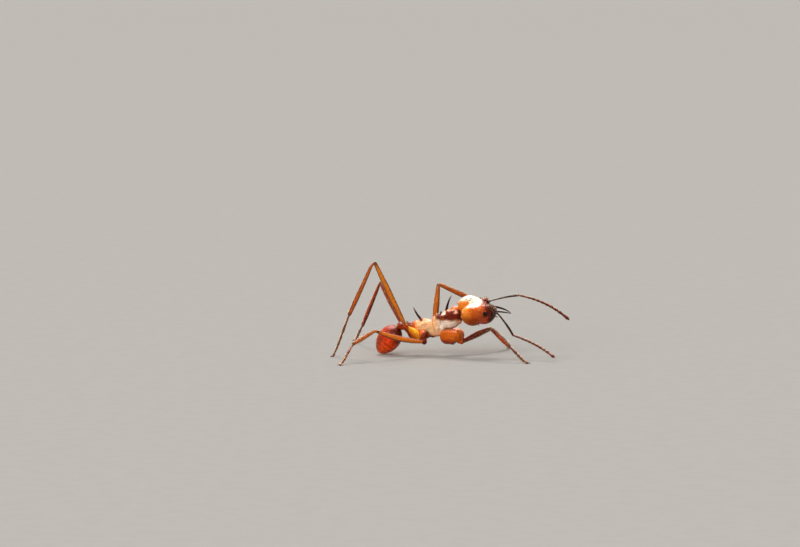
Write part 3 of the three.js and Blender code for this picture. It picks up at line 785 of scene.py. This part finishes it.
def trunk_seams(x, s, z):
    """How far points lie ahead of the pronotum's rear seam and of the propodeum's front one."""
    return x - 0.9 - 0.25 * (z - 2.4) + 0.35 * (s - 0.3), x - 0.2 + 0.35 * (z - 2.3)


def trunk_relief(p):
    """Seams, ridges and the spiracle of the trunk, as heights over its melted lumps."""
    x, y, z = p.T
    s = np.abs(y)

    def groove(points, depth, inner, outer):
        return -depth * bell(line_distance(x, z, points), depth) * ramp(s, inner, outer)

    collar = 0.03 * bell(x - 2.0 - 0.2 * (z - 2.5), 0.035) - 0.03 * bell(x - 2.08 - 0.2 * (z - 2.5), 0.04)
    front, back = trunk_seams(x, s, z)
    shoulder = -0.035 * bell(front, 0.035) * ramp(z, 1.9, 2.2)
    waist = -0.06 * bell(back, 0.07) * ramp(z, 1.95, 2.3) - 0.03 * bell(back, 0.025) * ramp(z, 1.75, 1.9)
    pleura = groove([(1.0, 1.95), (0.62, 2.12), (0.25, 2.2)], 0.03, 0.25, 0.4)
    lower = groove([(0.9, 1.75), (0.3, 1.85), (-0.2, 1.78)], 0.025, 0.2, 0.35)
    gland = groove([(-0.2, 2.05), (-0.6, 2.14), (-1.0, 2.1)], 0.025, 0.2, 0.35)
    ridge = 0.03 * bell(s - 0.21, 0.035) * ramp(z, 2.1, 2.4) * (bell(x - 0.6, 0.3) + bell(x + 0.35, 0.3))
    spot = np.hypot(x + 0.52, z - 2.22)
    spiracle = ramp(s, 0.25, 0.35) * (0.025 * bell(spot - 0.07, 0.02) - 0.03 * bell(spot, 0.035))
    return collar + shoulder + waist + pleura + lower + ridge + spiracle + gland


def trunk_shade(p):
    """Orange ridges and a wine-red saddle, with painted highlights: cream and white on the flanks, and a
    pale and a pink spot above.
    """
    x, y, z = p.T
    s = np.abs(y)
    flank = ramp(s, 0.08, 0.25)
    # painted highlight: pale cream over the flanks and the lower trunk, but not its rear end
    cream = ramp(x, -1.1, -0.75) * ramp(z, 1.3, 1.55) * np.maximum(flank, ramp(z, 1.9, 1.7))
    ground = painted(
        ORANGE,
        (GOLD, 0.4 * bell(x + 0.3, 0.5)),
        (CREAM, 0.85 * cream),
        (RUST, 0.8 * bell(np.hypot(x - 0.12, (z - 2.5) * 1.6), 0.2)),
        (RUST, 0.6 * bell(np.hypot(x + 0.6, (z - 2.45) * 1.6), 0.14)),
        (RUST, 0.35 * bell(np.hypot(x + 0.25, (z - 2.2) * 2), 0.16)))
    z = z + 0.03 * np.sin(9 * x) + 0.015 * np.sin(31 * x + 3)  # the borders of the next coats waver
    # painted highlight: white over the flanks of the pronotum and mesopleura
    white = ramp(x, 0.45, 0.85) * ramp(x, 2.0, 1.75) * ramp(z, 1.7, 2.05) * ramp(z, 2.56, 2.44)
    crest = ramp(z - 0.2 * (x - 1.2), 2.98, 3.12) * ramp(x, 0.95, 1.2) * ramp(s, 0.42, 0.22)
    thorn_root = 0.9 * bell(np.hypot(x - 1.16, z - 3.2), 0.14)
    # painted highlights: a pale one behind the spine's root and a pink one on the pronotum's front bulge
    pale_highlight = ramp(np.abs(x - 1.0), 0.2, 0.1) * ramp(z, 2.84, 2.93) * ramp(s, 0.06, 0.2)
    pink_highlight = ramp(np.hypot((x - 1.87) * 0.8, z - 3.04), 0.16, 0.04) * flank
    front, back = trunk_seams(x, s, z)
    return painted(
        ground,
        (HIGHLIGHT_WHITE, 0.95 * white * flank),
        (ROSE, 0.5 * bell(z - 2.5, 0.07) * ramp(x, 0.5, 0.7)),
        (WINE, ramp(x, 0.3, 0.55) * ramp(z, 2.45, 2.61)),
        (DARK, 0.5 * bell(x - 0.5, 0.12) * ramp(z, 2.6, 2.8)),
        (ORANGE, np.clip(crest + thorn_root, 0, 1)),
        (HIGHLIGHT_WHITE, pale_highlight),
        (PINK, 0.85 * pink_highlight),
        (GOLD, 0.5 * bell(np.hypot(x + 0.8, z - 1.9), 0.25)),
        (ROSE, 0.4 * np.clip(bell(front, 0.05) + bell(back, 0.06), 0, 1)),
        (RUST, 0.6 * ramp(x, -0.95, -1.2)))


# root, bend and tip of each spine of the left side, its thickness, its colour and where it turns dark
TRUNK_SPINES = [
    ((1.14, 0.33, 3.06), (1.2, 0.35, 3.6), (1.48, 0.38, 4.18), 0.1, ORANGE, 0.09),
    # the lower spine is cream, painted highlight like the flank around it
    ((1.6, 0.42, 2.3), (1.8, 0.6, 2.2), (1.95, 0.66, 2.1), 0.055, CREAM, 0.8),
    ((0.78, 0.22, 2.8), (0.77, 0.24, 2.98), (0.74, 0.26, 3.1), 0.1, MAROON, 0.1),
    ((0.42, 0.2, 2.62), (0.4, 0.22, 2.76), (0.36, 0.24, 2.9), 0.075, MAROON, 0.1),
    ((-0.58, 0.16, 2.47), (-0.92, 0.18, 2.76), (-1.17, 0.19, 3.34), 0.1, RED, 0.12),
]


def make_trunk():
    body = melted(TRUNK, (-0.9, 0, 2.1), (2.2, 0, 2.62), 300, 160, blend=0.05)
    local = body.points.copy()
    body.relief(trunk_relief(local))
    body.shade = trunk_shade(local)
    shells = [body]
    for *points, thick, colour, dark in TRUNK_SPINES:
        for side in (1, -1):
            shells.append(spine(points, thick, (colour, DARK * 0.6), (dark, dark + 0.12), side))
    add_object("trunk", shells, TRUNK_SKIN, ["pronotum", "mesonotum", "propodeum"])
    add_hairs("trunk_hairs", [(body, 700)], 0.1, thick=0.007, lean=45, seed=5)


def make_waist():
    """The two knots between trunk and gaster, with a pair of small teeth on the first."""
    petiole = melted([((-1.42, 0, 1.98), (0.36, 0.2, 0.17)), ((-1.55, 0, 2.08), (0.2, 0.24, 0.24))],
                     (-1.6, 0, 2.0), (-1.35, 0, 2.0), 90, 60)
    post = melted([((-2.05, 0, 2.02), (0.32, 0.4, 0.28)), ((-1.85, 0, 1.98), (0.28, 0.24, 0.2))],
                  (-2.15, 0, 2.0), (-1.85, 0, 2.0), 90, 80)
    for knot in (petiole, post):
        x, y, z = knot.points.T
        crease = -0.015 * bell(y, 0.03) * ramp(z, 2.1, 2.2)
        knot.relief(-0.02 * bell(x + 1.72, 0.04) - 0.02 * bell(x + 1.3, 0.03) + crease)
        knot.shade = painted(RED, (RUST, ramp(z, 2.1, 1.9)), (MAROON, 0.8 * ramp(z, 2.0, 2.2)))
    tooth = [(-1.56, 0.1, 2.24), (-1.6, 0.13, 2.3), (-1.66, 0.15, 2.36)]
    teeth = [spine(tooth, 0.05, (RUST, DARK), (0.2, 0.5), side) for side in (1, -1)]
    add_object("waist", [petiole, post, *teeth], GASTER_SKIN, ["petiole", "postpetiole"])
    haired = [(petiole, 110), (post, 110)]
    add_hairs("waist_hairs", haired, 0.1, thick=0.007, lean=40, seed=6)


# ---- gaster
def make_gaster():
    """An egg from its root at X = 0, with four plate edges and a seam along each side."""
    l, w, d = GASTER["size"]
    lumps = [((0.46, 0, 0), (0.46, 0.5, 0.5)), ((0.68, 0, 0), (0.34, 0.3, 0.32))]
    egg = melted(lumps, (0.3, 0, 0), (0.7, 0, 0), 220, 160, scale=GASTER["size"])
    x, y, z = egg.points.T
    seams = [x - share * l - 0.12 * (z / d) - 0.06 * (y / w) ** 2 for share in (0.6, 0.76, 0.87, 0.95)]
    height = -0.02 * bell(z - 0.16 * d, 0.025) * ramp(x, 0.1 * l, 0.2 * l)
    # Maroon at the root; the brick back is painted shade, and the scarlet and flame towards the hanging tip
    # are a painted glow of light through the shell. The seams are darker maroon.
    egg.shade = painted(
        MAROON,
        (DARK, 0.35),
        (SCARLET, ramp(x - 0.3 * z, 0.16 * l, 0.55 * l)),
        (FLAME, 0.7 * ramp(x, 0.45 * l, 0.8 * l) * ramp(z, -0.5, 0.3)),
        (BRICK, 0.8 * ramp(z, 0.15, -0.5)),
        *((MAROON, 0.6 * bell(seam, 0.05)) for seam in seams))
    for seam in seams:
        swell = np.where(seam < 0, np.exp(np.minimum(seam, 0) / 0.2), 0)
        height += 0.022 * swell - 0.02 * bell(seam - 0.015, 0.02)
    egg.chance = 0.5 + ramp(x, 0.3 * l, 0.9 * l)
    egg.lie = -1
    egg.relief(height).moved(turned(0, 180 - GASTER["droop"], 0), GASTER["root"])
    add_object("gaster_shell", [egg], GASTER_SKIN, ["gaster"])
    add_hairs("gaster_hairs", [(egg, 750)], 0.085, thick=0.006, lean=58, seed=8)


# ---- legs
# Flank and edge colours differ from leg to leg as painted light and shade; the edges are painted shade
SUNLIT = (GOLD * 0.4 + ORANGE * 0.6, mix(MAROON, RED, 0.4))
LEG_COLOURS = {  # of flanks and edges
    "right_fore": (mix(MAROON, DARK, 0.2), mix(MAROON, DARK, 0.6)),
    "left_fore": SUNLIT,
    "right_middle": SUNLIT,
    "left_middle": (GOLD * 0.25 + ORANGE * 0.4, mix(MAROON, DARK, 0.3)),
    "right_hind": (GOLD * 0.6 + ORANGE * 0.2, mix(MAROON, DARK, 0.2)),
    "left_hind": (mix(RUST, ORANGE, 0.35), mix(MAROON, DARK, 0.2)),
}


class Leg:
    """The joints of one leg and what is its own."""

    def __init__(self, name):
        self.name = name
        side, self.place = name.split("_")
        self.pair, coxa, femur, tibia, tarsus = LEGS[name]
        self.to_knee, self.to_ankle = unit(*femur), unit(*tibia)
        self.root = mirrored(self.pair["root"], 1 if side == "left" else -1)
        self.hip = self.root + unit(*coxa) * self.pair["coxa"]
        self.coxa_end = self.hip - unit(*coxa) * 0.2
        self.knee = self.hip + self.to_knee * self.pair["femur"]
        self.ankle = self.knee + self.to_ankle * self.pair["tibia"]
        self.stands = len(tarsus) == 1
        if self.stands:
            drop = (SOLE - self.ankle[2]) / self.pair["tarsus"]
            tarsus = (*tarsus, math.degrees(math.asin(drop)))
        self.foot = self.ankle + unit(*tarsus) * self.pair["tarsus"]
        self.flank, self.edge = LEG_COLOURS[name]
        self.hook = KNEE_SHIFT if name == "right_hind" else np.zeros(3)
        self.stout = 1.22 if name == "left_middle" else 1.0


def leg_shade(shell, flank, edge, near, far):
    """Bright flanks with painted shade along the upper and lower edges, and ends as dark as near and far
    say.
    """
    ends = np.clip(near * bell(shell.share, 0.05) + far * bell(1 - shell.share, 0.06), 0, 1)
    return painted(flank, (edge, ramp(np.abs(shell.height), 0.5, 0.88)), (DARK, ends))


def make_coxa(leg):
    """The thick first joint. A fore coxa is arched and stays thick almost to its end."""
    thick, arch = leg.pair["thick"], leg.pair.get("arch", 0)
    line = bezier([leg.root, leg.root * 0.2 + leg.coxa_end * 0.8 + [0, 0, arch], leg.coxa_end], 60)
    taper = [(0.6, 0.97), (0.8, 0.8), (0.93, 0.5)] if arch else [(0.55, 0.84), (0.82, 0.55)]
    girth = profile([(0, 0.97), (0.3, 0.98), *taper, (1, 0.16 / thick)], shares(line)) * thick
    coxa = tube(line, girth, 48, cap=12)
    # Painted light and shade: the hind coxae glow amber, brightest on the right, and the lower side and
    # underside darken to rust and maroon.
    sunny = AMBER if leg.name == "right_hind" else mix(AMBER, ORANGE, 0.6)
    ground = {"fore": ORANGE * 0.9, "middle": ORANGE, "hind": sunny}[leg.place]
    lower = {"fore": RUST, "middle": MAROON, "hind": mix(RUST, ORANGE, 0.75)}[leg.place]
    # on the middle coxae the end and one side turn dark red: painted shade. The maroon at every coxa's end
    # is its dark joint.
    red_end = ramp(coxa.share + 0.25 * coxa.across, 0.3, 0.55) * (leg.place == "middle")
    under = ramp(coxa.height, -0.7, -0.95)
    coxa.shade = painted(
        ground,
        (lower, ramp(coxa.height, -0.05, -0.7)),
        (mix(MAROON, RED, 0.3), red_end),
        (MAROON, 0.9 * under + 0.6 * ramp(coxa.share, 0.85, 1.0) * (1 - under)))
    return coxa


def make_trochanter(leg):
    """The ring that joins coxa and femur."""
    path = bezier([leg.coxa_end, leg.hip, leg.hip + leg.to_knee * 0.16], 24)
    girth = profile([(0, 0.11), (0.35, 0.15), (0.8, 0.145), (1, 0.1)], 24)
    wide, ground = (1.25, MAROON) if leg.place == "middle" else (1.0, mix(RUST, ORANGE, 0.3))
    ring = tube(path, wide * girth, 24)
    ring.shade = mix(ground, DARK, bell(ring.share, 0.15) + 0.5 * bell(1 - ring.share, 0.12))
    return ring


def make_femur(leg):
    """The thigh. On the left middle one the painted edge shade runs fore and aft."""
    s = np.linspace(0, 1, 90)
    path = bezier([leg.hip + leg.to_knee * 0.12, leg.knee], 90) + leg.hook * (s ** 2)[:, None]
    path[:, 2] += (-0.13 if leg.name == "right_middle" else 0.03) * np.sin(np.pi * s)
    thickening = [(0, 0.5), (0.06, 0.62), (0.15, 0.75), (0.35, 0.93), (0.6, 1.0)]
    girth = profile([*thickening, (0.82, 0.8), (0.93, 0.68), (1, 0.55)], 90)
    femur = tube(path, leg.stout * leg.pair["fat"] * girth, 32, flat=0.9)
    if leg.name == "left_middle":
        femur.height = femur.across
    # the left hind thigh is darker still: painted shade
    flank = mix(leg.flank, MAROON, 0.7) if leg.name == "left_hind" else leg.flank
    femur.shade = leg_shade(femur, flank, leg.edge, 0.7, 0.9)
    return femur


def make_tibia(leg):
    """The shin, with a hump after the knee and more bristles on its upper edge."""
    s = np.linspace(0, 1, 80)
    run = s * leg.pair["tibia"]
    hump = 0.19 * (1 - np.exp(-run / 0.16)) * np.exp(-run / 1.6) * (1 - s ** 4)
    outward = normalised(leg.to_knee - leg.to_ankle)
    path = bezier([leg.knee, leg.ankle], 80) + outward * hump[:, None]
    path += leg.hook * np.exp(-run / 0.13)[:, None]
    thickening = [(0, 0.62), (0.04, 0.55), (0.12, 0.7), (0.45, 0.93), (0.78, 1.0)]
    girth = profile([*thickening, (0.93, 0.85), (0.98, 0.88), (1, 0.75)], 80)
    tibia = tube(path, (0.9 * leg.stout + 0.1) * leg.pair["shin"] * girth, 32, flat=0.92)
    rusty = 0.6 if leg.place == "hind" else 0.35
    if leg.name == "right_fore":
        rusty = ramp(tibia.share, 0.25, 0.6)
    tibia.shade = leg_shade(tibia, mix(leg.flank, RUST, rusty), leg.edge, 1.0, 0.7)
    tibia.chance = 1 + 2 * ramp(tibia.height, 0.2, 0.8)
    return tibia


def make_spur(leg):
    """The comb spur, longest on the forelegs."""
    root = leg.ankle - leg.to_ankle * 0.06 - [0, 0, 0.07]
    tip = root + normalised(leg.to_ankle - [0, 0, 0.55]) * (0.34 if leg.place == "fore" else 0.2)
    bend = (root + tip) / 2 - [0, 0, 0.03]
    return spine([root, bend, tip], 0.045, (RUST, RUST), (0, 1), point=0.006, columns=10)


def make_toes(leg, path):
    """Five tarsal joints, the first one the longest."""
    ends = [0, 0.42, 0.56, 0.69, 0.81, 1.0]
    sizes = [0.84, 0.84, 0.82, 0.78, 0.7]
    knots = [(0, 0.6), (0.15, 0.72), (0.6, 0.82), (0.88, 1.08), (1, 0.95)]
    flank = painted(leg.flank, (RUST, 0.6), (BROWN * 1.6, 0.6))
    toes = []
    for low, high, size in zip(ends, ends[1:], sizes):
        count = 22 if low else 44
        piece = stretch(path, np.linspace(0, 1, len(path)), low + 0.004, high - 0.004, count)
        toe = tube(piece, leg.pair["toe"] * size * profile(knots, count), 16)
        toe.shade = leg_shade(toe, flank, leg.edge, 0.9, 0.4)
        toes.append(toe)
    return toes


def make_claws(leg, tip):
    """A pair of claws and the pad between them."""
    onward = normalised((leg.foot - leg.ankle) * [1, 1, 0.15 if leg.stands else 1])
    sideways = normalised(np.cross(onward, [0, 0, 1.0]))
    claws = []
    for side in (1, -1):
        root = tip + sideways * side * 0.03 + onward * 0.02
        bend = root + onward * 0.13 + sideways * side * 0.08 + [0, 0, 0.06]
        point = root + onward * 0.2 + sideways * side * 0.1
        point[2] = 0.012 if leg.stands else root[2] - 0.09
        claws.append(spine([root, bend, point], 0.045, (RUST, DARK), (0.2, 0.7), point=0.007, columns=10))
    pad = tube(bezier([tip, tip + onward * 0.06, tip + onward * 0.09 - [0, 0, 0.01]], 8), 0.035, 12)
    pad.shade = BROWN
    return [*claws, pad]


def make_leg(name):
    leg = Leg(name)
    path = bezier([leg.ankle, leg.foot], 200)
    path[:, 2] -= 0.1 * np.sin(np.pi * np.linspace(0, 1, 200) ** 2.2) * (1 if leg.stands else -0.6)
    toes, claws = make_toes(leg, path), make_claws(leg, path[-1])
    if leg.stands:
        for shells, floor in ((toes, 0.004), (claws, 0.002)):
            for shell in shells:
                shell.points[:, 2] = np.maximum(shell.points[:, 2], floor)
    coxa, femur, tibia = make_coxa(leg), make_femur(leg), make_tibia(leg)
    shells = [coxa, make_trochanter(leg), femur, tibia, make_spur(leg), *toes, *claws]
    nodes = [f"{name}_{part}" for part in ("coxa", "femur", "tibia", "tarsus")]
    add_object(f"{name}_leg", shells, LEG_SKIN, nodes)
    haired = [(coxa, 60), (femur, 300), (tibia, 330)] + [(toe, 60) for toe in toes]
    seed = 20 + list(LEGS).index(name)
    add_hairs(f"{name}_leg_hairs", haired, 0.1, thick=0.0065, lean=52, seed=seed)


make_head()
for word, way in (("left", 1), ("right", -1)):
    make_eye(f"{word}_eye", way)
    make_mandible(f"{word}_mandible", way)
for word in ANTENNAE:
    make_antenna(word)
make_trunk()
make_waist()
make_gaster()
for word in LEGS:
    make_leg(word)


# ---- floor, light and camera
def make_floor():
    size = 4.0
    mesh = bpy.data.meshes.new("floor")
    corners = [(x * size, y * size, 0) for x, y in ((-1, -1), (1, -1), (1, 1), (-1, 1))]
    mesh.from_pydata(corners, [], [(0, 1, 2, 3)])
    material, node = new_material("floor")
    noise = node("TexNoise", {"Vector": node("TexCoord", {})["Object"], "Scale": 900})["Fac"]
    tint = node("ValToRGB", {"Fac": noise})["Color"]
    shades = tint.node.color_ramp.elements
    shades[0].color, shades[1].color = (0.46, 0.452, 0.438, 1), (0.51, 0.502, 0.488, 1)
    skin = node("BsdfPrincipled", {"Base Color": tint, "Roughness": 0.9})["BSDF"]
    node("OutputMaterial", {"Surface": skin})
    mesh.materials.append(material)
    floor = add_to_scene("floor", mesh)


def aimed(place, back):
    """A matrix whose -Z axis looks against back, with no roll."""
    right = normalised(np.cross([0, 0, 1.0], back))
    up = np.cross(back, right)
    turn = Matrix(np.column_stack([right, up, back]).tolist()).to_4x4()
    turn.translation = place
    return turn


def add_lamp(name, kind, energy, colour, heading, lift, glossy, diffuse=True):
    """A lamp 70 mm from the ant that shines on it."""
    lamp = add_to_scene(name, bpy.data.lights.new(name, kind))
    lamp.data.energy, lamp.data.color = energy, colour
    lamp.visible_glossy, lamp.visible_diffuse = glossy, diffuse
    back = unit(heading, lift)
    lamp.matrix_world = aimed(back * 0.07 + [0.001, 0, 0.002], back)
    return lamp


def make_lights():
    """Two soft suns, a softbox over the ant alone and a card beside it that only makes highlights."""
    back = add_lamp("back_light", "SUN", 1.5, (1.0, 0.97, 0.92), 105, 52, glossy=False)
    fill = add_lamp("fill_light", "SUN", 2.3, (1.0, 0.98, 0.96), -112, 27, glossy=False)
    back.data.angle, fill.data.angle = math.radians(20), math.radians(50)
    ant = bpy.data.collections.new("ant")
    for piece in bpy.context.scene.objects:
        if piece.type == "MESH" and piece.name != "floor":
            ant.objects.link(piece)
    for name, energy, shines in (("softbox", 0.2, False), ("gloss_card", 0.5, True)):
        lamp = add_lamp(name, "AREA", energy, (1.0, 0.97, 0.93), 97, 62, shines, not shines)
        lamp.data.shape, lamp.data.size, lamp.data.size_y = "RECTANGLE", 0.06, 0.06
        lamp.light_linking.receiver_collection = ant
    world = bpy.data.worlds.new("studio")
    world.use_nodes = True
    background = world.node_tree.nodes["Background"]
    background.inputs["Color"].default_value = (1.0, 0.95, 0.88, 1)
    background.inputs["Strength"].default_value = 0.4
    bpy.context.scene.world = world


def make_camera():
    """The photo's view: from the ant's right, 8 degrees ahead and 5 degrees above the horizon."""
    azimuth, elevation, distance = 8, 5, 250.0
    picture_width, pixel, sensor = 800, 0.07, 36
    right, back = unit(azimuth, 0), unit(azimuth - 90, elevation)
    aim = -2.1 * right + 5.705 * np.cross(back, right)
    camera = add_to_scene("camera", bpy.data.cameras.new("camera"))
    camera.data.sensor_width = sensor
    camera.data.lens = sensor * distance / (picture_width * pixel)
    camera.data.clip_start, camera.data.clip_end = 0.001, 20
    camera.matrix_world = aimed((aim + back * distance - ORIGIN) * MM, back)
    bpy.context.scene.camera = camera


make_floor()
make_lights()
make_camera()
bpy.context.scene.view_settings.view_transform = "Standard"
